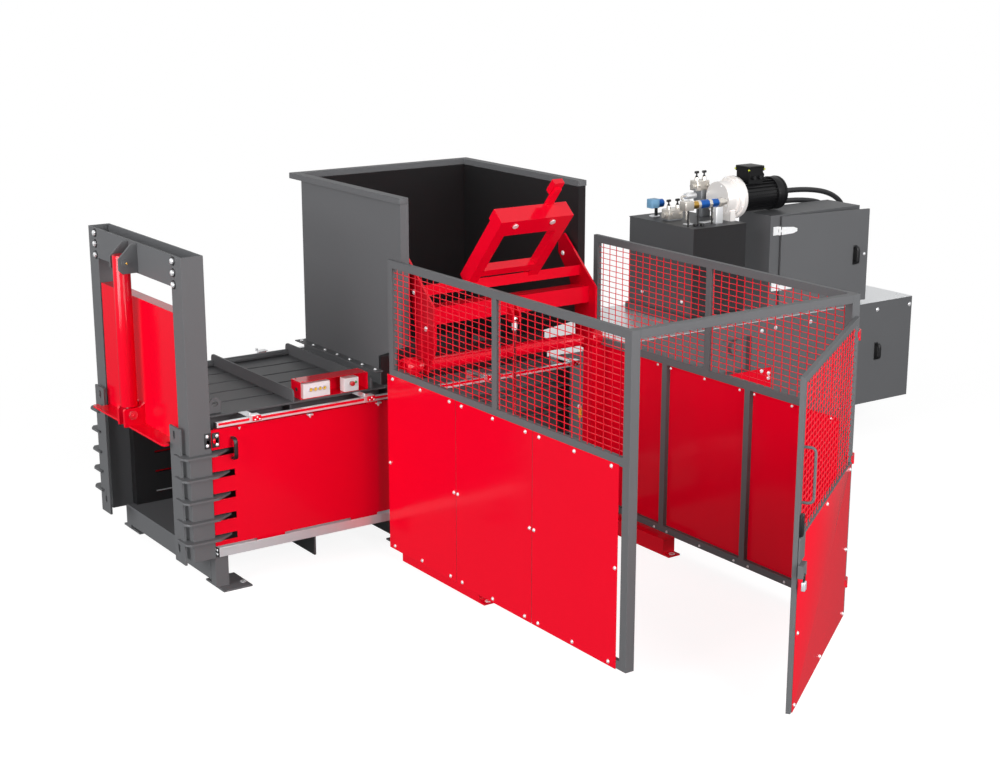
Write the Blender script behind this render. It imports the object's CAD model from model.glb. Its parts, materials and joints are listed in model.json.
# %% [markdown]
# # A horizontal baler, dressed around its CAD frame
# The machine was drawn and packed in CAD: a bale chamber with a lifting door at the
# outlet, a hopper, a bin lifter inside guard fences and a hydraulic power pack. This
# file gives each of those solids a real finish and adds the small parts that make the
# machine believable, such as bolts, gauges, handles, fittings and the motor's cowl.
# Everything is in metres, in the same frame as the CAD.

# %% Load the frame
import bmesh
import bpy
import json
import math
import numpy as np
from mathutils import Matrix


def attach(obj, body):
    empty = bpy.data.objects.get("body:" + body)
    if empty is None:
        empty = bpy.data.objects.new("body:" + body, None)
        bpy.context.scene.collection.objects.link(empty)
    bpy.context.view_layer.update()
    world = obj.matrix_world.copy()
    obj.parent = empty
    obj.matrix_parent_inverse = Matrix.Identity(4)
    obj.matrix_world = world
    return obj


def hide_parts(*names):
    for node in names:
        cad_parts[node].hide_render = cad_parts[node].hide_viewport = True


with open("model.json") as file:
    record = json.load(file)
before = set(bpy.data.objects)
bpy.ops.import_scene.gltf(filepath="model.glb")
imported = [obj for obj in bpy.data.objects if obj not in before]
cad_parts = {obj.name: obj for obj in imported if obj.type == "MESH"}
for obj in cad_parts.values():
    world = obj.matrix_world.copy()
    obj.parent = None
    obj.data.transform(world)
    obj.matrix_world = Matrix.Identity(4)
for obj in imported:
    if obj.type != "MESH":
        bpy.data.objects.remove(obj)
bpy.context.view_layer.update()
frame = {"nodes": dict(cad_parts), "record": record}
nodes = frame["nodes"]

# %% [markdown]
# ## Where the drawing counts from
# On the drawing, lengths along the machine start at the front face of the outlet's
# door frame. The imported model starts 342 mm further back, at the anchor holes of the
# outlet feet. `FRONT` is that step, and every surface below is worked out on the
# drawing and moved by it in one place, where a mesh is made.

# %% The step from drawing to model
FRONT = np.array([-0.342, 0.0, 0.0])
scene = bpy.context.scene
print("the drawing moves by", FRONT)

# %% [markdown]
# ## Surfaces from arrays
# Each new piece is a surface that a formula gives: a grid of points with two
# parameters, such as a profile that is turned round an axis or carried along a path.
# A whole grid is one numpy array, so there is no loop over vertices. A small part that
# repeats, such as a bolt head, is one grid copied to many places by adding an array of
# positions, which keeps a hundred bolts in one mesh. Such parts could also be built by
# hand or from Blender's own primitives. Formulas were chosen because every length of
# the real part then stays a number that can be read and changed.

# %% Grids of quads
def grid_faces(rows, columns, wrap_rows, wrap_columns):
    """Quads of a rows by columns grid; wrapping joins the last line to the first."""
    i = np.arange(rows if wrap_rows else rows - 1)
    j = np.arange(columns if wrap_columns else columns - 1)
    i, j = np.meshgrid(i, j, indexing="ij")
    i2, j2 = (i + 1) % rows, (j + 1) % columns
    quads = np.stack([i * columns + j, i2 * columns + j, i2 * columns + j2,
                      i * columns + j2], -1)
    return quads.reshape(-1, 4)


def surface(points, wrap_rows=False, wrap_columns=False):
    """Points of shape (rows, columns, 3) as (vertices, quads)."""
    rows, columns = points.shape[:2]
    return points.reshape(-1, 3), grid_faces(rows, columns, wrap_rows, wrap_columns)


print("a 3 by 4 grid has", len(grid_faces(3, 4, False, False)), "quads")

# %% Turned shapes
def frame_of(direction):
    """Three unit vectors: two across the direction and the direction itself."""
    w = np.asarray(direction, float)
    w = w / np.linalg.norm(w)
    helper = np.array([0.0, 0.0, 1.0]) if abs(w[2]) < 0.9 else np.array([1.0, 0.0, 0.0])
    u = np.cross(helper, w)
    u = u / np.linalg.norm(u)
    return u, np.cross(w, u), w


def lathe(profile, origin, direction, sides=32):
    """A turned shape: radius r and distance t of the profile, carried round the axis.
    point = origin + r (cos a u + sin a v) + t w. A profile that starts and ends at
    r = 0 is closed there by rings that shrink to a point."""
    profile = np.asarray(profile, float)
    u, v, w = frame_of(direction)
    a = np.linspace(0, 2 * np.pi, sides, endpoint=False)
    ring = np.cos(a)[:, None] * u + np.sin(a)[:, None] * v
    r, t = profile[:, 0], profile[:, 1]
    points = np.asarray(origin, float) + r[:, None, None] * ring[None] + t[:, None, None] * w
    return surface(points, wrap_columns=True)


print("the axes across an upright line are", *frame_of((0, 0, 1))[:2])

# %% Rounded blocks
def rounded_outline(width, height, radius, steps=4):
    """A rectangle with round corners, centred, as points that run anticlockwise."""
    radius = min(radius, width / 2 - 1e-5, height / 2 - 1e-5)
    quarter = np.linspace(0, np.pi / 2, steps + 1)
    parts = []
    for k, (sx, sy) in enumerate(((1, 1), (-1, 1), (-1, -1), (1, -1))):
        a = quarter + k * np.pi / 2
        centre = np.array([sx * (width / 2 - radius), sy * (height / 2 - radius)])
        parts.append(centre + radius * np.stack([np.cos(a), np.sin(a)], -1))
    return np.concatenate(parts)


def block(low, high, radius=0.004, along=2, steps=3):
    """A box with rounded edges: a round-cornered section carried along one axis, its
    end rings shrinking along a quarter circle, and the last rings drawn in to close."""
    low, high = np.asarray(low, float), np.asarray(high, float)
    size, centre = high - low, (high + low) / 2
    axes = [k for k in range(3) if k != along]
    if along == 1:
        axes = axes[::-1]
    radius = min(radius, size.min() / 2 - 1e-5)
    a = np.linspace(0, np.pi / 2, steps + 1)
    closing = [size[axes[0]] / 2 - 1e-6]
    inset = np.concatenate([closing, radius * (1 - np.sin(a)), radius * (1 - np.cos(a)), closing])
    t = np.concatenate([[0], radius * (1 - np.cos(a)), size[along] - radius * (1 - np.sin(a)),
                        [size[along]]])
    rings = []
    for d in inset:
        w = max(size[axes[0]] - 2 * d, 2e-6)
        h = max(size[axes[1]] - 2 * d, 2e-6)
        rings.append(rounded_outline(w, h, max(radius - d, 1e-6) if d < radius else 1e-6, steps))
    rings = np.array(rings)
    points = np.zeros(rings.shape[:2] + (3,))
    points[..., axes[0]] = rings[..., 0] + centre[axes[0]]
    points[..., axes[1]] = rings[..., 1] + centre[axes[1]]
    points[..., along] = (low[along] + t)[:, None]
    return surface(points, wrap_columns=True)


print("a round-cornered outline has", len(rounded_outline(1.0, 1.0, 0.1)), "points")

# %% Sections carried along a path
def sweep(path, section):
    """A closed section carried along a path: at each path point the section stands in
    the plane across the path, on axes carried on from point to point."""
    path = np.asarray(path, float)
    tangent = np.gradient(path, axis=0)
    tangent /= np.linalg.norm(tangent, axis=1)[:, None]
    u, v, _ = frame_of(tangent[0])
    us, vs = [], []
    for t in tangent:
        u = u - t * (u @ t)
        u = u / np.linalg.norm(u)
        us.append(u)
        vs.append(np.cross(t, u))
    us, vs = np.array(us), np.array(vs)
    points = (path[:, None] + section[None, :, :1] * us[:, None]
              + section[None, :, 1:] * vs[:, None])
    ends = [path[0] + 0 * points[0], path[-1] + 0 * points[-1]]
    return surface(np.concatenate([ends[:1], points, ends[1:]]), wrap_columns=True)


def circle(radius, sides=12):
    """A round section: (r cos a, r sin a)."""
    a = np.linspace(0, 2 * np.pi, sides, endpoint=False)
    return radius * np.stack([np.cos(a), np.sin(a)], -1)


def bend(corners, radius, steps=6):
    """A path through corners, each corner replaced by a quadratic curve."""
    corners = np.asarray(corners, float)
    points = [corners[0]]
    s = np.linspace(0, 1, steps + 1)[:, None]
    for a, b, c in zip(corners[:-2], corners[1:-1], corners[2:]):
        before = b + (a - b) / np.linalg.norm(a - b) * min(radius, np.linalg.norm(a - b) / 2)
        after = b + (c - b) / np.linalg.norm(c - b) * min(radius, np.linalg.norm(c - b) / 2)
        points.extend((1 - s) ** 2 * before + 2 * s * (1 - s) * b + s ** 2 * after)
    points.append(corners[-1])
    return np.array(points)


print("a round section has", len(circle(1.0)), "points")

# %% Copies and joins
def repeat(part, places):
    """One (vertices, quads) part copied to each place and joined."""
    vertices, quads = part
    places = np.asarray(places, float).reshape(-1, 3)
    count = len(places)
    all_vertices = (places[:, None] + vertices[None]).reshape(-1, 3)
    all_quads = (np.arange(count)[:, None, None] * len(vertices) + quads[None]).reshape(-1, 4)
    return all_vertices, all_quads


def join(parts):
    """Several (vertices, quads) parts as one."""
    vertices, quads, start = [], [], 0
    for v, q in parts:
        vertices.append(v)
        quads.append(q + start)
        start += len(v)
    return np.concatenate(vertices), np.concatenate(quads)


print("a rounded block has", len(block((0, 0, 0), (1, 1, 1))[1]), "quads")

# %% [markdown]
# ## From a part to an object
# A part is only numbers until it is a mesh. The grids close at their ends with rings
# that shrink to a point, so points that coincide are merged. Faces could be shaded flat
# or smooth as a whole. Here each edge is judged by its angle, as rolled and turned
# steel has soft curves beside crisp edges.

# %% Objects
TOUCHING = 0.000015  # points closer than this, in metres, are one point


def piece(name, part, material, body="baler", smooth=35.0):
    """Puts a part into a mesh object, merges points that coincide, smooths it up to
    the given angle, gives it a material and lets it ride on a body."""
    vertices, quads = part
    mesh = bpy.data.meshes.new(name)
    mesh.from_pydata((vertices + FRONT).tolist(), [], quads.tolist())
    mesh.validate()
    made = bpy.data.objects.new(name, mesh)
    scene.collection.objects.link(made)
    work = bmesh.new()
    work.from_mesh(mesh)
    bmesh.ops.remove_doubles(work, verts=work.verts, dist=TOUCHING)
    bmesh.ops.recalc_face_normals(work, faces=work.faces)
    for face in work.faces:
        face.smooth = True
    for edge in work.edges:
        crisp = len(edge.link_faces) == 2 and edge.calc_face_angle() > math.radians(smooth)
        edge.smooth = not crisp
    work.to_mesh(mesh)
    work.free()
    mesh.materials.append(material)
    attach(made, body)
    return made


print("points within", TOUCHING, "m are merged")

# %% [markdown]
# ## Finishes
# Each finish starts from how the real one is made. The machine is welded from sheet and
# tube and powder coated, in satin dark grey or in glossy red. Rods are hard chromed,
# bolts are zinc plated, the walkway is bright aluminium chequer plate. Colours are given
# as sRGB hex and turned to linear light by one function. Patterns take their size from
# the real one: the coat's orange peel is a few millimetres wide, and the chequer bars
# repeat every 25 mm. A flat colour would be quicker, but a coat without any change in
# gloss looks like plastic, so a slow noise moves the gloss and shade a little.

# %% Helpers for materials
HANDLING_PATCHES = 2.2  # patches of wear in a metre, so each is about 45 cm wide


def to_linear(code):
    """An sRGB hex colour as linear RGBA: c / 12.92 up to 0.04045, above it
    ((c + 0.055) / 1.055) ^ 2.4."""
    c = np.array([int(code[k:k + 2], 16) for k in (0, 2, 4)]) / 255.0
    c = np.where(c <= 0.04045, c / 12.92, ((c + 0.055) / 1.055) ** 2.4)
    return (*c.tolist(), 1.0)


def add(tree, kind, values=None, links=None, **settings):
    """Adds one node: settings are its own fields, values its input values, and links
    the sources of its inputs."""
    made = tree.nodes.new(kind)
    for key, value in settings.items():
        setattr(made, key, value)
    for key, value in (values or {}).items():
        made.inputs[key].default_value = value
    for key, source in (links or {}).items():
        tree.links.new(source, made.inputs[key])
    return made


def scaled(colour, factor):
    """A linear colour, each channel times the factor and at most 1."""
    return tuple(min(1.0, c * factor) for c in colour[:3]) + (1.0,)


def finish_of(name, colour, roughness, metallic=0.0, ior=1.5, coat=0.0, peel=0.0, peel_size=0.004,
              spread=0.06, shade=0.04):
    """A painted or plated surface. A slow noise moves the roughness and the shade a little, as
    handling and cleaning do, and a fine noise of the real size gives the coat its peel."""
    made = bpy.data.materials.new(name)
    made.use_nodes = True
    tree = made.node_tree
    shader = tree.nodes["Principled BSDF"]
    shader.inputs["Metallic"].default_value = metallic
    shader.inputs["IOR"].default_value = ior
    shader.inputs["Coat Weight"].default_value = coat
    shader.inputs["Coat Roughness"].default_value = 0.04
    where = add(tree, "ShaderNodeTexCoord").outputs["Object"]
    slow = add(tree, "ShaderNodeTexNoise", {"Scale": HANDLING_PATCHES, "Detail": 5.0, "Roughness": 0.6},
               {"Vector": where}).outputs["Fac"]
    rough = add(tree, "ShaderNodeMapRange",
                {"From Min": 0.3, "From Max": 0.7, "To Min": roughness - spread / 2,
                 "To Max": roughness + spread / 2}, {"Value": slow})
    tree.links.new(rough.outputs["Result"], shader.inputs["Roughness"])
    base = to_linear(colour)
    tint = add(tree, "ShaderNodeMix", {6: scaled(base, 1 - shade), 7: scaled(base, 1 + shade)},
               {0: slow}, data_type="RGBA")
    tree.links.new(tint.outputs[2], shader.inputs["Base Color"])
    if peel:
        fine = add(tree, "ShaderNodeTexNoise", {"Scale": 1.0 / peel_size, "Detail": 2.0},
                   {"Vector": where})
        bump = add(tree, "ShaderNodeBump", {"Strength": 1.0, "Distance": peel},
                   {"Height": fine.outputs["Fac"]})
        tree.links.new(bump.outputs["Normal"], shader.inputs["Normal"])
    return made


# %% Painted and plated steel
# Satin powder coat on welded steel: broad, soft highlights and a fine orange peel.
dark_grey = finish_of("dark_grey", "5b5c5e", 0.5, ior=1.32, peel=0.00012, peel_size=0.004)
# Glossy powder coat: a saturated red that mirrors the pale floor along its lower edges.
red_paint = finish_of("red_paint", "dc0322", 0.14, ior=1.38, peel=0.00002, peel_size=0.006,
                      spread=0.03, shade=0.02)
# The same coat on 4 mm welded wire, too thin to show a mirror image, so it looks duller.
red_wire = finish_of("red_wire", "dc0322", 0.35, shade=0.04)
# White powder coat on sheet steel: bright and half matt.
white_paint = finish_of("white_paint", "e6e7e8", 0.35, peel=0.0001)
# Bright zinc plate on rolled rails: pale metal whose reflections are soft.
zinc_plate = finish_of("zinc_plate", "dfe1e4", 0.32, metallic=0.6, shade=0.05)
# Hard chrome, ground and polished: a sharp mirror that takes on its surroundings.
chromed = finish_of("chromed_rod", "dcdee0", 0.08, metallic=1.0, spread=0.03)
# Turned and polished aluminium casting: a pale, slightly warm shine.
polished = finish_of("polished_aluminium", "faf6f3", 0.18, metallic=0.3)
# Machined nickel-plated steel, on hydraulic blocks and unions: warm grey highlights.
nickel = finish_of("nickel", "dcd7cf", 0.22, metallic=0.7)
# Turned brass: a yellow metal with narrow highlights.
brass = finish_of("brass", "c39a4c", 0.26, metallic=1.0)
# Dyed oxide on aluminium coil cases: the dye colours the metal's own shine.
blue_anodised = finish_of("blue_anodised", "1f5fb4", 0.3, metallic=0.7)
# Black enamel on the motor's cast case: nearly matt, with a cast grain.
motor_black = finish_of("motor_black", "0b0b0d", 0.45, ior=1.35, peel=0.00015, peel_size=0.003)
print("metal finishes:", len(bpy.data.materials))

# %% Rubber and plastics
# Hydraulic hose cover, moulded rubber: dark grey with dull highlights.
rubber = finish_of("hose_rubber", "17171a", 0.55, peel=0.0002, peel_size=0.002)
# Moulded nylon on handles and stops: black with a soft sheen.
black_plastic = finish_of("black_plastic", "121214", 0.38)
# Moulded plastics of the switch, the dials and the push buttons: clean, even colours.
pale_blue = finish_of("pale_blue_plastic", "7fb2d8", 0.4)
yellow = finish_of("yellow_dial", "e7c531", 0.4)
red_plastic = finish_of("red_plastic", "c4121b", 0.3)
green_plastic = finish_of("green_plastic", "2f8f46", 0.3)
print("finishes:", len(bpy.data.materials))

# %% [markdown]
# The chequer plate is aluminium sheet with raised bars in a weave. Modelled bars would be
# thousands of small faces, so the bars are height in the material. With p the pitch and
# (x, y) the place on the sheet, turned by 45 degrees, a cell holds one bar, which lies
# along the first axis where floor(u / p) + floor(v / p) is even and along the second
# where it is odd. With a and b in millimetres from the cell's middle, along the bar and
# across it, its height falls off as an ellipse, 1 - (a / 12)^2 - (b / 3.5)^2.

# %% The chequer plate
CHEQUER_PITCH = 0.025
BAR_HALF_LENGTH, BAR_HALF_WIDTH = 0.48, 0.14  # as shares of the pitch
BAR_HEIGHT = 0.0012

# Each row is a value's name, the operation that gives it and what that works on.
BAR_STEPS = [
    ("cell_u", "FLOOR", "u"), ("cell_v", "FLOOR", "v"), ("cells", "ADD", "cell_u", "cell_v"),
    ("count", "ABSOLUTE", "cells"), ("odd", "MODULO", "count", 2.0),
    ("even", "SUBTRACT", 1.0, "odd"),
    ("share_u", "FRACT", "u"), ("from_u", "SUBTRACT", "share_u", 0.5),
    ("share_v", "FRACT", "v"), ("from_v", "SUBTRACT", "share_v", 0.5),
    ("even_u", "MULTIPLY", "from_u", "even"), ("odd_v", "MULTIPLY", "from_v", "odd"),
    ("even_v", "MULTIPLY", "from_v", "even"), ("odd_u", "MULTIPLY", "from_u", "odd"),
    ("a", "ADD", "even_u", "odd_v"), ("b", "ADD", "even_v", "odd_u"),
    ("a_part", "DIVIDE", "a", BAR_HALF_LENGTH), ("a_size", "ABSOLUTE", "a_part"),
    ("a_square", "POWER", "a_size", 2.0),
    ("b_part", "DIVIDE", "b", BAR_HALF_WIDTH), ("b_size", "ABSOLUTE", "b_part"),
    ("b_square", "POWER", "b_size", 2.0),
    ("less_a", "SUBTRACT", 1.0, "a_square"), ("less_b", "SUBTRACT", "less_a", "b_square"),
    ("height", "MAXIMUM", "less_b", 0.0)]


def chequer_finish(name):
    """Bright aluminium with the bars as bump: max(0, 1 - (a / A)^2 - (b / B)^2)."""
    made = finish_of(name, "eef0f2", 0.3, metallic=0.6)
    tree = made.node_tree
    where = add(tree, "ShaderNodeTexCoord").outputs["Object"]
    turned = add(tree, "ShaderNodeMapping",
                 {"Rotation": (0, 0, math.radians(45)), "Scale": (1 / CHEQUER_PITCH,) * 3},
                 {"Vector": where}).outputs["Vector"]
    parts = add(tree, "ShaderNodeSeparateXYZ", links={"Vector": turned})
    found = {"u": parts.outputs["X"], "v": parts.outputs["Y"]}
    for step, operation, *inputs in BAR_STEPS:
        values = {k: x for k, x in enumerate(inputs) if isinstance(x, float)}
        links = {k: found[x] for k, x in enumerate(inputs) if isinstance(x, str)}
        found[step] = add(tree, "ShaderNodeMath", values, links, operation=operation).outputs[0]
    bump = add(tree, "ShaderNodeBump", {"Strength": 1.0, "Distance": BAR_HEIGHT},
               {"Height": found["height"]})
    tree.links.new(bump.outputs["Normal"], tree.nodes["Principled BSDF"].inputs["Normal"])
    return made


chequer = chequer_finish("chequer_aluminium")
print("a bar repeats every", CHEQUER_PITCH, "m")

# %% [markdown]
# ## Paint for every CAD node
# The record says which finish each node has. CAD meshes arrive as loose triangles, so a
# Weld modifier joins them and a Bevel of about 1.5 mm breaks the edges of plates and
# tubes, which real ones have from rolling and from the coat. It is what makes an edge
# catch the light. Wire and hoses are round already and stay without it.

# %% Assign the finishes
finishes = {"dark_grey": dark_grey, "red_paint": red_paint, "red_wire": red_wire,
            "white_paint": white_paint, "zinc_plate": zinc_plate, "chromed_rod": chromed,
            "chequer_aluminium": chequer, "polished_aluminium": polished,
            "motor_black": motor_black, "hose_rubber": rubber}
slot_of = {row["node"]: row["material_slot"] for row in frame["record"]["subparts"]}
for name, node in nodes.items():
    node.data.materials.clear()
    node.data.materials.append(finishes[slot_of[name]])
print("painted:", len(nodes))

# %% Break the edges
WELD_GAP, EDGE_WIDTH = 0.00002, 0.0015
round_already = ("fence_mesh_left", "fence_mesh_right", "gate_mesh", "hydraulic_hoses")
for name, node in nodes.items():
    if name in round_already:
        continue
    weld = node.modifiers.new("weld", "WELD")
    weld.merge_threshold = WELD_GAP
    edge = node.modifiers.new("edge", "BEVEL")
    edge.width = EDGE_WIDTH
    edge.segments = 2
    edge.limit_method = "ANGLE"
    edge.angle_limit = math.radians(40)
    edge.harden_normals = True
print("edges broken on", len(nodes) - len(round_already), "nodes")

# %% [markdown]
# ## Bolts
# Every bolt head is one turned profile: a thin washer, a short straight side and a
# crown that falls off like a flattened dome. Heads of one size and direction are copied
# into one mesh, so a hundred of them cost one object. Places come as lists in metres,
# on the drawing, and the far side of the machine is the near side with Y turned round.
# Linked copies of one object would do as well, but each would be a piece of its own.

# %% Heads, nuts and mirrored places
def head(radius, height, direction, sides=12):
    """A washer and a domed head: r = 1.3 R at the foot, R up to 0.5 H, then down to 0 at H."""
    profile = [(0, 0), (1.3 * radius, 0), (1.3 * radius, 0.12 * height), (radius, 0.16 * height),
               (radius, 0.5 * height), (0.87 * radius, 0.78 * height), (0.5 * radius, 0.96 * height), (0, height)]
    return lathe(profile, (0, 0, 0), direction, sides)


def ring(inner, outer, thickness, origin, direction, sides=24):
    """A flat ring, whose closed profile is a rectangle from r = inner to r = outer."""
    profile = [(inner, 0), (outer, 0), (outer, thickness), (inner, thickness), (inner, 0)]
    return lathe(profile, origin, direction, sides)


def drum(radius, length, origin, direction, edge=0.002, sides=24):
    """A solid of round section with a broken edge at each end."""
    edge = min(edge, radius / 3, length / 3)
    profile = [(0, 0), (radius - edge, 0), (radius, edge), (radius, length - edge),
               (radius - edge, length), (0, length)]
    return lathe(profile, origin, direction, sides)


def mirrored(part):
    """The same part on the far side, y turned to -y, with the quads turned to match."""
    vertices, quads = part
    return vertices * np.array([1.0, -1.0, 1.0]), quads[:, ::-1]


def both(part):
    """The near part and its mirror image as one."""
    return join([part, mirrored(part)])


def turned(part, centre, degrees):
    """A part turned about an upright line through centre."""
    c, s = math.cos(math.radians(degrees)), math.sin(math.radians(degrees))
    turn = np.array([[c, -s, 0.0], [s, c, 0.0], [0.0, 0.0, 1.0]])
    centre = np.array([centre[0], centre[1], 0.0])
    return (part[0] - centre) @ turn.T + centre, part[1]


toward_outlet, toward_pack = (-1, 0, 0), (1, 0, 0)
toward_operator, toward_far, upward, downward = (0, -1, 0), (0, 1, 0), (0, 0, 1), (0, 0, -1)
bolt_zinc = finish_of("bolt_zinc", "eff0f2", 0.3, metallic=0.55)
print("directions:", toward_outlet, toward_operator, upward)

# %% [markdown]
# ## Outlet frame
# Three large heads, each in a dark washer, hold the crossbeam at each post, on the
# outlet side and behind. The cylinder has a steel pipe from its upper port to its lower
# port, and the clevis pin has a disc at each end and a grease nipple. The pipe is a
# round section carried along a bent path, the rest is turned.

# %% Outlet frame
heights = (2.145, 2.072, 1.997)
front_places = [(0.0, side * 0.622, z) for side in (-1, 1) for z in heights]
back_places = [(0.150, side * 0.66, z) for side in (-1, 1) for z in heights]
rings = join([repeat(drum(0.029, 0.004, (0, 0, 0), toward_outlet, 0.001), front_places),
              repeat(drum(0.029, 0.004, (0, 0, 0), toward_pack, 0.001), back_places)])
heads = join([repeat(head(0.0185, 0.02, toward_outlet, 20), front_places),
              repeat(head(0.0185, 0.02, toward_pack, 20), back_places)])
piece("frame_bolt_washers", rings, rubber)
piece("frame_bolts", heads, bolt_zinc)

pipe = sweep(bend([(-0.08, 0.086, 1.965), (-0.08, 0.112, 1.965), (-0.08, 0.112, 1.150),
                   (-0.08, 0.086, 1.150)], 0.02), circle(0.0055, 10))
piece("cylinder_pipe", pipe, zinc_plate)
nut = [(0, 0), (0.012, 0), (0.012, 0.014), (0.009, 0.016), (0, 0.016)]
nuts = [lathe(nut, (-0.08, 0.087, z), toward_far, 6) for z in (1.150, 1.930, 1.965)]
piece("cylinder_fittings", join(nuts), nickel)
pin_plate = join([drum(0.020, 0.004, (-0.08, -0.0862, 2.054), toward_operator),
                  drum(0.020, 0.004, (-0.08, 0.0862, 2.054), toward_far)])
piece("clevis_pin_plates", pin_plate, dark_grey)
nipple = repeat(head(0.006, 0.012, toward_operator), [(-0.08, -0.090, 2.054)])
piece("clevis_grease_nipple", nipple, brass)
rod_nut = repeat(head(0.009, 0.012, toward_operator), [(-0.08, -0.0665, 1.046)])
piece("door_pin_nut", rod_nut, red_paint, "bale_door")
anchor_places = [(0.342, -0.719, 0.012), (0.342, 0.719, 0.012), (5.365, -0.52, 0.012),
                 (5.365, 0.52, 0.012), (1.457, -1.909, 0.012), (2.963, -1.909, 0.012)]
washer = ring(0.0115, 0.021, 0.003, (0, 0, 0), upward)
piece("anchor_washers", repeat(washer, anchor_places), bolt_zinc)
plate_bolts = [(0.148, y, 0.185) for y in (-0.52, -0.34, -0.17, 0.0, 0.17, 0.34, 0.52)]
piece("end_plate_bolts", repeat(head(0.006, 0.006, toward_outlet), plate_bolts), dark_grey)
print("outlet frame done")

# %% [markdown]
# ## Side guard
# A clamp plate on the post and one on the guard face each other, with two heads each and
# a red cam between them. The guard has a bow handle, pins under the rail and hanger
# tabs. A red strip runs along the zinc rail, and each rail bracket carries a red block
# with three screws. The lower track ends in a black stop with four screws. The handle is
# a flat section carried along a bent path. A bent curve with a bevel would give it too,
# but its section could not be flat with round corners.

# %% Side guard
def bow_handle(x, y, low, high, reach, width=0.026, depth=0.014):
    """A bar with round corners that leaves the face at both ends and runs along it."""
    path = bend([(x, y + 0.001, low), (x, y - reach, low), (x, y - reach, high),
                 (x, y + 0.001, high)], reach * 0.7, 8)
    section = rounded_outline(depth, width, 0.005, 3)
    return sweep(path, section[:, ::-1])


post_face, guard_face = -0.735, -0.730
fixed_plate = block((0.104, post_face - 0.006, 0.950), (0.149, post_face, 1.050), 0.003, along=1)
moving_plate = block((0.158, guard_face - 0.009, 0.950), (0.206, guard_face, 1.046), 0.003, along=1)
cam = lathe([(0, 0), (0.010, 0), (0.010, 0.008), (0.007, 0.011), (0, 0.011)], (0, 0, 0),
            toward_operator, 24)
cam = (cam[0] * np.array([0.9, 1.0, 1.7]) + np.array([0.168, guard_face - 0.009, 0.996]), cam[1])
handle = bow_handle(0.299, guard_face, 0.862, 0.996, 0.050)
tabs = join([block((x - 0.020, -0.756, 1.056), (x + 0.020, guard_face, 1.066), 0.002)
             for x in (0.852, 1.367)])
pin = lathe([(0, 0), (0.009, 0), (0.009, 0.004), (0.003, 0.018), (0, 0.018)], (0, 0, 0), downward, 12)
pins = repeat(pin, [(0.345, -0.743, 1.0625), (0.852, -0.743, 1.057), (1.367, -0.743, 1.057)])
for side, name, turn in (("near", "guard_near", tuple), ("far", "guard_far", mirrored)):
    piece("post_clamp_" + side, turn(fixed_plate), rubber)
    piece("post_clamp_bolts_" + side, turn(repeat(head(0.0085, 0.009, toward_operator),
          [(0.121, post_face - 0.006, 1.030), (0.121, post_face - 0.006, 0.970)])), bolt_zinc)
    piece("guard_clamp_" + side, turn(moving_plate), rubber, name)
    piece("guard_clamp_bolts_" + side, turn(repeat(head(0.0085, 0.009, toward_operator),
          [(0.190, guard_face - 0.009, 1.026), (0.190, guard_face - 0.009, 0.968)])), bolt_zinc, name)
    piece("guard_cam_" + side, turn(cam), red_paint, name)
    piece("guard_handle_" + side, turn(handle), black_plastic, name)
    piece("guard_tabs_" + side, turn(tabs), zinc_plate, name)
    piece("guard_pins_" + side, turn(pins), bolt_zinc, name)
piece("rail_strips", both(block((0.190, -0.7695, 1.098), (2.990, -0.7675, 1.1145), 0.0008)), red_paint)
carriages, covers, screws = [], [], []
for x in (0.424, 1.264, 2.224, 2.964):
    carriages.append(block((x, -0.789, 1.094), (x + 0.056, -0.7725, 1.128), 0.003))
    covers.append(block((x - 0.026, -0.787, 1.1285), (x + 0.050, -0.735, 1.133), 0.0015))
    covers.append(block((x - 0.026, -0.787, 1.1285), (x - 0.018, -0.760, 1.150), 0.0015))
    for dx, z in ((0.012, 1.104), (0.028, 1.118), (0.044, 1.104)):
        screws.append((x + dx, -0.789, z))
piece("rail_carriages", both(join(carriages)), red_paint)
piece("rail_covers", both(join(covers)), bolt_zinc)
piece("rail_screws", both(repeat(head(0.0045, 0.004, toward_operator), screws)), bolt_zinc)
rail_end = block((0.170, -0.771, 1.081), (0.1775, -0.734, 1.119), 0.002)
piece("rail_end_blocks", both(rail_end), black_plastic)
track_end = block((0.158, -0.7575, 0.226), (0.166, -0.7005, 0.285), 0.004)
piece("track_ends", both(track_end), black_plastic)
track_screws = [(0.158, y, z) for z in (0.270, 0.243) for y in (-0.742, -0.716)]
piece("track_end_screws", both(repeat(head(0.007, 0.006, toward_outlet), track_screws)), bolt_zinc)
print("side guards done")

# %% [markdown]
# ## Gauges and buttons
# The white panel under the hood holds four dials behind rims, each with a hand. The box
# beside it has a red mushroom button on its collar and a green push button. All of them
# are turned shapes, so one profile each gives them, and only the hand is a block.

# %% Gauges and buttons
panel_y, button_y = -0.598, -0.603
dial_places = [(x, panel_y, 1.183) for x in (0.940, 0.974, 1.008, 1.042)]
rim = lathe([(0.0105, 0.0), (0.0140, 0.0), (0.0145, 0.006), (0.0135, 0.009), (0.0118, 0.009),
             (0.0110, 0.006), (0.0105, 0.0)], (0, 0, 0), toward_operator, 24)
piece("gauge_rims", repeat(rim, dial_places), finish_of("gauge_rim", "c9c2d8", 0.3, metallic=0.6))
dial = drum(0.0112, 0.005, (0, 0, 0), toward_operator, 0.001)
piece("gauge_dials", repeat(dial, dial_places), yellow)
hand = block((-0.0006, -0.0058, -0.003), (0.0006, -0.0050, 0.0085), 0.0004)
piece("gauge_hands", repeat(hand, dial_places), black_plastic)
mushroom = lathe([(0, 0), (0.009, 0), (0.009, 0.014), (0.016, 0.017), (0.0175, 0.022),
                  (0.015, 0.027), (0.008, 0.030), (0, 0.031)], (1.243, button_y, 1.184),
                 toward_operator, 28)
piece("stop_button", mushroom, red_plastic)
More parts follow.
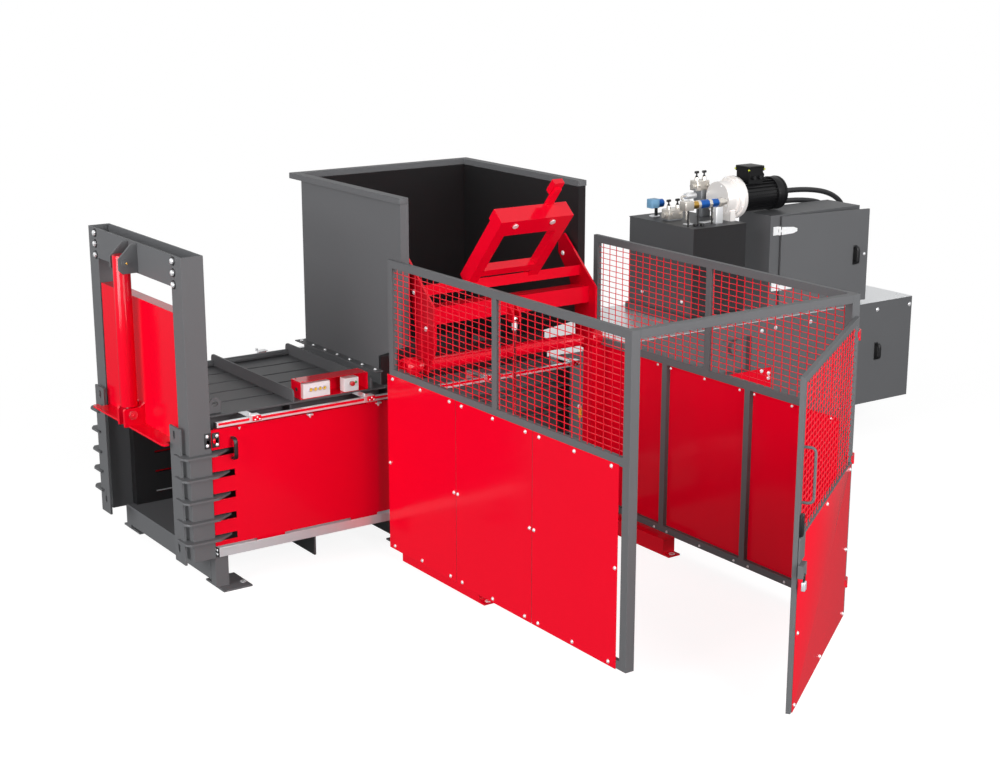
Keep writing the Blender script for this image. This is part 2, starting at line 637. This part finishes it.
collars = join([drum(0.014, 0.005, (1.243, button_y, 1.184), toward_operator, 0.001),
                drum(0.0095, 0.004, (1.278, button_y, 1.187), toward_operator, 0.001)])
piece("button_collars", collars, nickel)
start = drum(0.0075, 0.008, (1.278, button_y, 1.187), toward_operator, 0.0015)
piece("start_button", start, green_plastic)
corners = [(x, button_y, z) for x in (1.203, 1.292) for z in (1.137, 1.211)]
corners += [(x, panel_y, z) for x in (0.894, 1.076) for z in (1.137, 1.216)]
piece("panel_screws", repeat(head(0.0028, 0.002, toward_operator, 10), corners), bolt_zinc)
piece("hood_grommet", drum(0.013, 0.003, (0.862, -0.550, 1.186), toward_outlet, 0.001), rubber)
hood_places = [(x, y, 1.243) for x in (0.885, 1.350) for y in (-0.590, -0.495)]
piece("hood_bolts", repeat(head(0.004, 0.004, upward), hood_places), red_paint)
print("gauges:", len(dial_places))

# %% [markdown]
# ## Hopper
# The rim's open tube ends get caps of sheet steel, and the hopper's foot flanges get
# their bolts, evenly spaced as on any bolted flange.

# %% Hopper
caps = join([block((x, -0.9125, 2.4015), (x + 0.060, -0.9095, 2.4385), 0.001, along=1) for x in (1.454, 2.900)])
piece("rim_caps", caps, dark_grey)
foot_bolts = [(x, y, 1.225) for x in (1.480, 2.935) for y in np.linspace(-0.52, 0.52, 7)]
foot_bolts += [(x, 0.550, 1.225) for x in np.linspace(1.62, 2.80, 7)]
piece("hopper_foot_bolts", repeat(head(0.010, 0.010, upward), foot_bolts), bolt_zinc)
print("hopper bolts:", len(foot_bolts))

# %% [markdown]
# ## Ram housing and cabinet
# Bolts stand where the photo shows them. Both handles are the same moulded bow: a grip
# between two feet, on a flat base. The cabinet's door stands 7 degrees open, so what it
# carries is placed on the shut door and turned about the hinge line with it.

# %% Housing, cabinet and their handles
housing_bolts = [(x, -0.550, z) for x, z in ((5.000, 1.040), (5.146, 1.048), (5.530, 1.048),
                                              (6.295, 1.054), (6.678, 1.054))]
plate_heads = [(x, -0.562, z) for x, z in ((5.002, 0.716), (5.078, 0.690), (5.078, 0.650))]
housing_head = head(0.0135, 0.010, toward_operator, 16)
piece("housing_bolts", repeat(housing_head, housing_bolts + plate_heads), bolt_zinc)


def moulded_handle(x, y, low, high):
    """Base plate, two feet and the grip, with the grip's section wider than deep."""
    base = block((x - 0.020, y - 0.004, low), (x + 0.020, y, high), 0.002, along=1)
    bow = bow_handle(x, y - 0.003, low + 0.016, high - 0.016, 0.040, 0.030, 0.016)
    return join([base, bow])


piece("housing_handle", moulded_handle(6.300, -0.550, 0.625, 0.775), black_plastic)
hinge_line, door_swing = (5.288, -0.404), -7
door_face = -0.415
door_handle = turned(moulded_handle(6.045, door_face, 1.455, 1.615), hinge_line, door_swing)
piece("cabinet_handle", door_handle, black_plastic, "cabinet_door")
lock = repeat(head(0.010, 0.006, toward_operator, 20), [(6.143, door_face, 1.535)])
piece("cabinet_lock", turned(lock, hinge_line, door_swing), bolt_zinc, "cabinet_door")
hinge_screw = head(0.005, 0.003, toward_operator, 10)
strap_places = [(x, -0.420, z + dz) for z in (1.340, 1.790)
                for x, dz in ((5.330, 0.018), (5.330, -0.018), (5.390, 0.0))]
strap_screws = turned(repeat(hinge_screw, strap_places), hinge_line, door_swing)
piece("strap_screws", strap_screws, bolt_zinc, "cabinet_door")
leaf_places = [(5.252, -0.396, z + dz) for z in (1.340, 1.790) for dz in (0.018, -0.018)]
piece("leaf_screws", repeat(hinge_screw, leaf_places), bolt_zinc)
tank_places = [(4.400, 0.215, 1.300), (4.400, -0.270, 1.300)]
piece("tank_bolts", repeat(head(0.012, 0.010, toward_outlet, 16), tank_places), bolt_zinc)
print("housing bolts:", len(housing_bolts))

# %% [markdown]
# ## Power pack
# The tank's lid carries small hydraulic parts: a pressure switch on a stem, two valve
# blocks with T-shaped knobs, and a row of cartridges and coils in front of the pump.
# They stand in for the plain blocks of the CAD node. Most hydraulic parts are turned
# from bar, so profiles give them, and a hexagon is a turned shape with six sides.

# %% Valves on the tank
lid = 1.886


def knob(x, y, z):
    """A T-shaped knob: a turned stem and a bar with round ends across it."""
    stem = lathe([(0, 0), (0.011, 0), (0.011, 0.010), (0.006, 0.014), (0.006, 0.034), (0, 0.034)],
                 (x, y, z), upward, 16)
    bar = block((x - 0.021, y - 0.009, z + 0.030), (x + 0.021, y + 0.009, z + 0.050), 0.007, along=0)
    return join([stem, bar])


def valve(x0, x1, y, z0, z1):
    """A machined block with two cartridges on top, as (metal parts, black parts)."""
    body = block((x0, y - 0.045, z0), (x1, y + 0.045, z1), 0.006)
    places = (x0 + 0.24 * (x1 - x0), x1 - 0.16 * (x1 - x0))
    hexagon = [(0, 0), (0.017, 0), (0.017, 0.022), (0.014, 0.026), (0, 0.026)]
    hexes = [lathe(hexagon, (x, y, z1 - 0.001), upward, 6) for x in places]
    side = drum(0.022, 0.060, (x0 - 0.030, y - 0.010, z0 + 0.45 * (z1 - z0)), toward_pack)
    front = [drum(0.014, 0.014, (x, y - 0.045, z0 + 0.5 * (z1 - z0)), toward_operator, sides=6)
             for x in places]
    return join([body, side] + hexes + front), join([knob(x, y, z1 + 0.024) for x in places])


low_metal, low_knobs = valve(4.475, 4.625, 0.045, lid + 0.012, lid + 0.092)
high_metal, high_knobs = valve(4.775, 4.905, 0.060, 2.098, 2.178)
valves = piece("valve_bodies", join([low_metal, high_metal]), nickel)
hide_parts("valve_blocks")
piece("valve_knobs", join([low_knobs, high_knobs]), black_plastic)
seats = join([block((4.820, 0.010, 2.008), (4.950, 0.110, 2.100), 0.005),
              block((4.840, 0.025, lid), (4.930, 0.095, 2.010), 0.004),
              block((4.485, 0.005, lid), (4.615, 0.085, lid + 0.013), 0.003)])
piece("valve_seats", seats, finish_of("cast_iron", "8f9296", 0.4, metallic=0.5))
print("valves stand on the lid at", lid)

# %% Cartridges, switch and small parts on the tank
axis_y, axis_z, start = -0.285, 2.052, 4.372
turned_metal = [block((start, axis_y - 0.036, axis_z - 0.036),
                      (start + 0.088, axis_y + 0.036, axis_z + 0.036), 0.004),
                drum(0.034, 0.026, (start + 0.142, axis_y, axis_z), toward_pack),
                drum(0.037, 0.030, (start + 0.252, axis_y, axis_z), toward_pack, sides=8),
                drum(0.030, 0.020, (start + 0.350, axis_y, axis_z), toward_pack),
                drum(0.037, 0.036, (start + 0.368, axis_y, axis_z), toward_pack, sides=6),
                drum(0.024, 0.036, (start + 0.402, axis_y, axis_z), toward_pack)]
piece("cartridge_metal", join(turned_metal), nickel)
piece("cartridge_brass", drum(0.031, 0.058, (start + 0.086, axis_y, axis_z), toward_pack), brass)
piece("cartridge_coils", join([drum(0.033, 0.088, (start + 0.166, axis_y, axis_z), toward_pack, 0.004),
                               drum(0.032, 0.072, (start + 0.280, axis_y, axis_z), toward_pack, 0.004),
                               drum(0.033, 0.058, (4.565, 0.256, 1.990), toward_pack, 0.004)]), blue_anodised)
piece("pressure_switch", block((4.487, 0.222, 1.957), (4.568, 0.290, 2.030), 0.006), pale_blue)
stems = [drum(0.007, 0.140, (x, axis_y, lid), upward) for x in (start + 0.060, start + 0.160, start + 0.300)]
stems += [drum(0.013, 0.062, (4.560, 0.256, lid + 0.008), upward)]
stems += [drum(0.018, 0.020, (x, y, lid), upward, 0.004) for x, y in ((4.500, -0.288), (4.552, -0.312))]
piece("stems_and_caps", join(stems), black_plastic)
pads = [block((4.480, -0.225, lid), (4.550, -0.165, lid + 0.007), 0.002),
        block((4.640, -0.225, lid), (4.760, -0.170, lid + 0.007), 0.002),
        drum(0.044, 0.009, (4.545, 0.256, lid), upward, 0.003),
        block((start + 0.330, axis_y - 0.018, lid), (start + 0.400, axis_y + 0.018, axis_z - 0.034), 0.004),
        drum(0.024, 0.105, (4.690, 0.060, 2.060), toward_pack),
        drum(0.030, 0.022, (4.712, 0.060, 2.060), toward_pack, sides=6)]
piece("pads_and_fittings", join(pads), bolt_zinc)
lines = [bend([(4.700, 0.060, 2.060), (4.640, 0.060, 2.060), (4.640, -0.020, 2.000),
               (4.640, -0.020, lid)], 0.04),
         bend([(4.420, axis_y + 0.030, axis_z), (4.420, -0.180, axis_z), (4.515, -0.180, 2.020),
               (4.515, -0.195, lid)], 0.05)]
piece("pack_pipes", join([sweep(path, circle(0.009, 12)) for path in lines]), nickel)
print("pipes in the pack:", len(lines))

# %% [markdown]
# The motor has a pressed cowl over its fan, a terminal box and a lifting eye. The cowl's
# profile is R cos(a)^0.8 wide where it is h sin(a) high, a little fuller than an
# ellipse, with rings on it, and it covers the plain cone of the CAD. The bell is a
# casting whose turned flanges catch the light, and it is held by a ring of bolts.

# %% The motor's cowl
motor = np.array([5.010, -0.160, 2.056])
angle = np.linspace(0, np.pi / 2, 13)
dome = [(0.0, 0.002), (0.1335, 0.002), (0.1335, 0.008)]
dome += [(0.1335 * math.cos(a) ** 0.8, 0.008 + 0.038 * math.sin(a)) for a in angle[1:-1]]
dome += [(0.0, 0.046)]
piece("cowl_dome", lathe(dome, motor + [0.445, 0, 0], toward_pack, 48), motor_black)
grille = [ring(r, r + 0.006, 0.003, motor + [0.445 + t, 0, 0], toward_pack, 40)
          for r, t in ((0.020, 0.0455), (0.048, 0.0430), (0.074, 0.0385))]
piece("cowl_grille", join(grille), black_plastic)
bands = [ring(0.1315, 0.1345, 0.006, motor + [x, 0, 0], toward_pack, 48) for x in (0.362, 0.438)]
piece("cowl_bands", join(bands), motor_black)
print("motor at", motor)

# %% Terminal box, eye and bell
lid_low, lid_high = np.array([5.086, -0.241, 2.280]), np.array([5.254, -0.079, 2.296])
piece("terminal_lid", block(lid_low, lid_high, 0.010), motor_black)
marks = [block((x - 0.006, y - 0.006, 2.262), (x + 0.006, y + 0.006, 2.274), 0.002)
         for x in (5.088, 5.252) for y in (-0.239, -0.081)]
piece("terminal_marks", join(marks), finish_of("yellow_green", "c9d13a", 0.4))
glands = [drum(0.016, 0.030, (x, -0.232, 2.205), toward_operator, sides=6) for x in (5.135, 5.200)]
piece("cable_glands", join(glands), black_plastic)
a = np.linspace(0, 2 * np.pi, 21)
eye_path = np.stack([5.300 + 0.020 * np.cos(a), -0.160 + 0 * a, 2.205 + 0.020 * np.sin(a)], -1)
eye_foot = drum(0.010, 0.022, (5.300, -0.160, 2.166), upward)
piece("motor_eye", join([sweep(eye_path, circle(0.0055, 10)), eye_foot]), motor_black)
turn = np.arange(8) * np.pi / 4 + np.pi / 8
flange_places = np.stack([0 * turn + 4.975, motor[1] + 0.158 * np.cos(turn),
                          motor[2] + 0.158 * np.sin(turn)], -1)
piece("bell_bolts", repeat(head(0.0065, 0.009, toward_outlet), flange_places), bolt_zinc)
drum_places = np.stack([0 * turn[::2] + 4.835, motor[1] + 0.112 * np.cos(turn[::2]),
                        motor[2] + 0.112 * np.sin(turn[::2])], -1)
piece("bell_screws", repeat(head(0.006, 0.006, toward_outlet), drum_places), bolt_zinc)
piece("bell_rings", join([ring(0.1335, 0.1385, 0.008, (4.925, motor[1], motor[2]), toward_pack, 48),
                          ring(0.1495, 0.1545, 0.006, (4.960, motor[1], motor[2]), toward_pack, 48)]),
      polished)
print("bell bolts:", len(flange_places) + len(drum_places))

# %% [markdown]
# ## Fences and gate
# Each sheet is held by eight heads: three near its top, three near its bottom and one
# half way up each upright edge. Nuts show on the other side of the frame. The gate
# stands 34 degrees open, so its parts are placed on the shut gate and turned about the
# hinge line, which is simpler than finding every place on the open one.

# %% Fence bolts
edges = np.array([0.888, 1.703, 2.518, 3.330])
bolt_levels, half_way = (0.116, 1.270), 0.689
rows = []
for near, far in zip(edges[:-1], edges[1:]):
    rows += [(y, z) for y in (near + 0.068, (near + far) / 2, far - 0.068) for z in bolt_levels]
    rows += [(near + 0.022, half_way), (far - 0.022, half_way)]
rows = np.array(rows)


def on_fence(x):
    """The heads' places on the fence plane at x."""
    return np.stack([0 * rows[:, 0] + x, -rows[:, 0], rows[:, 1]], -1)


inside = rows[:, 1] != half_way
small = (0.0095, 0.009)  # radius and height of a head
piece("fence_bolts", join([repeat(head(*small, toward_outlet), on_fence(1.354)),
                           repeat(head(*small, toward_pack), on_fence(3.066))]), bolt_zinc)
piece("fence_nuts", join([repeat(head(0.0075, 0.008, toward_pack, 6), on_fence(1.389)[inside]),
                          repeat(head(0.0075, 0.008, toward_outlet, 6), on_fence(3.031)[inside])]), bolt_zinc)
print("fence bolts:", 2 * len(rows))

# %% Gate
gate_line, gate_swing = (3.035, -3.441), 34.0


def on_gate(part):
    """A part drawn on the shut gate, where X falls from the hinge to the free edge."""
    return turned(part, gate_line, gate_swing)


def gate_x(distance):
    """X on the shut gate, at this distance from the hinge line."""
    return gate_line[0] - distance


sheet_y, frame_y = -3.452, -3.449
gate_bolts = [(gate_x(a), sheet_y, z) for a in (0.115, 0.80, 1.485) for z in (0.120, 1.030)]
gate_bolts += [(gate_x(a), sheet_y, 0.530) for a in (0.115, 1.485)]
piece("gate_bolts", on_gate(repeat(head(*small, toward_operator), gate_bolts)), bolt_zinc, "gate")
nut_places = [(x, -3.423, z) for x, y, z in gate_bolts if z != 0.530]
gate_nuts = on_gate(repeat(head(0.0075, 0.008, toward_far, 6), nut_places))
piece("gate_nuts", gate_nuts, bolt_zinc, "gate")
x = gate_x(1.512)
loop = bend([(x, frame_y + 0.002, 1.262), (x, frame_y - 0.062, 1.262),
             (x, frame_y - 0.062, 1.560), (x, frame_y + 0.002, 1.560)], 0.035, 8)
piece("gate_pull", on_gate(sweep(loop, circle(0.008, 12))), dark_grey, "gate")
hasp = block((gate_x(1.548), frame_y - 0.020, 1.085), (gate_x(1.508), frame_y, 1.205), 0.005, along=1)
piece("gate_hasp", on_gate(hasp), black_plastic, "gate")
lock_low, lock_high = (gate_x(1.580), -3.500, 0.800), (gate_x(1.536), -3.478, 0.850)
shackle = bend([(gate_x(1.570), -3.489, 0.848), (gate_x(1.570), -3.489, 0.892),
                (gate_x(1.546), -3.489, 0.892), (gate_x(1.546), -3.489, 0.848)], 0.012, 8)
piece("padlock_body", on_gate(block(lock_low, lock_high, 0.006, along=1)), zinc_plate, "gate")
piece("padlock_shackle", on_gate(sweep(shackle, circle(0.0042, 10))), black_plastic, "gate")
print("gate parts turned by", gate_swing)

# %% [markdown]
# ## Lifter
# The bin frame slopes at 49 degrees. Parts on it use two lengths, u along the slope and n
# across it, counted from the frame's lower corner, because its pads lie on the slope.
# The side plates carry bolt heads, the turning tube a ring at each end, and a valve on
# the base has a yellow lever.

# %% Lifter
slope = math.radians(49.0)


def on_slope(x, u, n):
    """(x, u, n) as a place on the drawing: the corner + u along the slope + n across it."""
    c, s = math.cos(slope), math.sin(slope)
    return (x, -0.985 - u * c + n * s, 1.842 + u * s + n * c)


under = (0, -math.sin(slope), -math.cos(slope))
pads = repeat(drum(0.021, 0.008, (0, 0, 0), under, 0.002, 20),
              [on_slope(2.050, 0.562, 0), on_slope(2.345, 0.565, 0)])
piece("bin_pads", pads, bolt_zinc, "lifter")
plate_places = [(1.550, -0.918, 1.820), (1.550, -1.060, 1.600)]
plate_places += [(2.854, -0.790, 1.925), (2.854, -0.912, 1.815)]
outer_places = [(2.870, y, z) for x, y, z in plate_places[:2]]
plate_bolts = join([repeat(head(0.013, 0.010, toward_outlet, 16), plate_places),
                    repeat(head(0.013, 0.010, toward_pack, 16), outer_places)])
piece("lifter_plate_bolts", plate_bolts, bolt_zinc, "lifter")
ends = join([ring(0.026, 0.044, 0.004, (1.439, -1.0, 1.346), toward_outlet, 32),
             ring(0.026, 0.044, 0.004, (2.981, -1.0, 1.346), toward_pack, 32)])
piece("tube_end_rings", ends, red_paint, "lifter")
fork = join([drum(0.019, 0.050, (2.210, -1.120, 1.520), upward),
             drum(0.013, 0.020, (2.210, -1.120, 1.502), upward)])
piece("rod_joint", fork, bolt_zinc, "lifter_rod")
lever = join([block((2.800, -1.072, 0.800), (2.822, -1.061, 0.878), 0.004),
              block((2.790, -1.068, 0.868), (2.824, -1.060, 0.882), 0.003)])
piece("valve_lever", lever, finish_of("lever_yellow", "f0d800", 0.35), "baler")
piece("valve_lever_cap", drum(0.016, 0.012, (2.802, -1.062, 0.882), toward_operator), bolt_zinc, "baler")
print("lifter parts done")

# %% [markdown]
# ## Studio
# A plain pale floor that keeps the shadow close to the machine and turns to plain white
# away from it, a white background, and two large soft lights that stand low, one before
# the outlet and one before the operator's side, as the bright upright faces and dark
# tops show. A third light without shadows fills the outlet side. The lights leave out a
# few inner faces that no light reaches in a shop, which soft lights this near would
# brighten. The camera stands where the photo was taken from.

# %% Floor
floor_mesh = bpy.data.meshes.new("studio_floor")
floor_mesh.from_pydata([(-60, -60, 0), (60, -60, 0), (60, 60, 0), (-60, 60, 0)], [], [(0, 1, 2, 3)])
floor = bpy.data.objects.new("studio_floor", floor_mesh)
floor.location = (2.0, 0.0, -0.001)
floor.visible_glossy = False
scene.collection.objects.link(floor)
floor_material = bpy.data.materials.new("studio_floor")
print("floor pieces:", len(floor_mesh.polygons))

# %% The floor's material
floor_material.use_nodes = True
tree = floor_material.node_tree
shader = tree.nodes["Principled BSDF"]
shader.inputs["Base Color"].default_value = (0.30, 0.30, 0.30, 1.0)
shader.inputs["Roughness"].default_value = 0.9
shader.inputs["Specular IOR Level"].default_value = 0.0
shader.inputs["Emission Color"].default_value = (1.0, 1.0, 1.0, 1.0)
rays = add(tree, "ShaderNodeLightPath")
lift = add(tree, "ShaderNodeMath", {1: 0.86}, {0: rays.outputs["Is Camera Ray"]}, operation="MULTIPLY")
tree.links.new(lift.outputs[0], shader.inputs["Emission Strength"])
place = add(tree, "ShaderNodeNewGeometry").outputs["Position"]
away = add(tree, "ShaderNodeVectorMath", {1: (2.4, -0.9, 0.0)}, {0: place}, operation="DISTANCE")
fade = add(tree, "ShaderNodeMapRange", {"From Min": 3.2, "From Max": 6.5}, {"Value": away.outputs["Value"]},
           interpolation_type="SMOOTHSTEP")
white = add(tree, "ShaderNodeEmission", {"Color": (1.0, 1.0, 1.0, 1.0), "Strength": 1.0})
fade = add(tree, "ShaderNodeMath", {}, {0: fade.outputs["Result"], 1: rays.outputs["Is Camera Ray"]},
           operation="MULTIPLY")
mixed = add(tree, "ShaderNodeMixShader", {}, {0: fade.outputs[0], 1: shader.outputs[0], 2: white.outputs[0]})
tree.links.new(mixed.outputs[0], tree.nodes["Material Output"].inputs["Surface"])
floor_mesh.materials.append(floor_material)
print("floor nodes:", len(tree.nodes))

# %% [markdown]
# The world could be one even white, but then upright metal would mirror nothing. Here a
# ray that comes from a shiny face finds a bright ring near the floor and a darker top,
# a ray from the camera finds white, and all others find a weak, even light.

# %% World
world = bpy.data.worlds.new("studio")
scene.world = world
world.use_nodes = True
tree = world.node_tree
background = tree.nodes["Background"]
background.inputs["Color"].default_value = (1.0, 1.0, 1.0, 1.0)
rays = add(tree, "ShaderNodeLightPath")
toward = add(tree, "ShaderNodeNewGeometry").outputs["Incoming"]
level = add(tree, "ShaderNodeSeparateXYZ", links={"Vector": toward}).outputs["Z"]
sky = add(tree, "ShaderNodeMapRange", {"From Min": 0.25, "From Max": -0.25, "To Min": 0.12, "To Max": 0.95},
          {"Value": level})
mirror = add(tree, "ShaderNodeMix", {2: 0.17}, {0: rays.outputs["Is Glossy Ray"], 3: sky.outputs["Result"]},
             data_type="FLOAT")
seen = add(tree, "ShaderNodeMath", links={0: mirror.outputs[0], 1: rays.outputs["Is Camera Ray"]},
           operation="MAXIMUM")
tree.links.new(seen.outputs[0], background.inputs["Strength"])
print("world nodes:", len(tree.nodes))

# %% Lights
def soft_light(name, place, target, power, size):
    """A square area light of this size in metres and power in watts, aimed at the target."""
    light = bpy.data.lights.new(name, "AREA")
    light.energy = power
    light.size = size
    made = bpy.data.objects.new(name, light)
    made.location = place
    away = np.array(place) - np.array(target)
    made.rotation_euler = (math.atan2(math.hypot(away[0], away[1]), away[2]), 0.0,
                           math.atan2(away[1], away[0]) + math.pi / 2)
    scene.collection.objects.link(made)
    return made


def keep_off(light, names):
    """This light doesn't reach these nodes. The rest of the machine gets it as before."""
    group = bpy.data.collections.new(light.name + "_off")
    for name in names:
        group.objects.link(nodes[name])
    light.light_linking.receiver_collection = group
    for row in group.collection_objects:
        row.light_linking.link_state = "EXCLUDE"


hopper_inside = ["hopper_end_walls", "hopper_right_wall"]
chamber_inside = ["chamber_wall_near", "chamber_wall_far"]
operator_side = soft_light("light_operator_side", (3.0, -14.0, 4.6), (2.6, -0.5, 1.0), 2050.0, 9.0)
keep_off(operator_side, hopper_inside + ["oil_tank"])
outlet_side = soft_light("light_outlet_side", (-13.0, -3.0, 5.6), (1.0, -0.5, 1.0), 1350.0, 9.0)
keep_off(outlet_side, hopper_inside + chamber_inside)
fill = soft_light("light_fill", (-13.0, -3.0, 3.6), (1.0, -0.5, 1.0), 1150.0, 9.0)
fill.data.use_shadow = False
keep_off(fill, hopper_inside + chamber_inside + ["chamber_roof", "lifter_arms", "floor_supports"])

# %% Camera
camera = bpy.data.cameras.new("camera")
camera.lens = 62.77
camera.sensor_width = 36.0
camera.clip_end = 200.0
camera_object = bpy.data.objects.new("camera", camera)
camera_object.location = (-4.674, -10.42, 4.12)
camera_object.rotation_euler = (math.radians(75.254), 0.0, math.radians(-34.636))
scene.collection.objects.link(camera_object)
scene.camera = camera_object
scene.view_settings.view_transform = "Standard"
print("camera lens:", camera.lens)
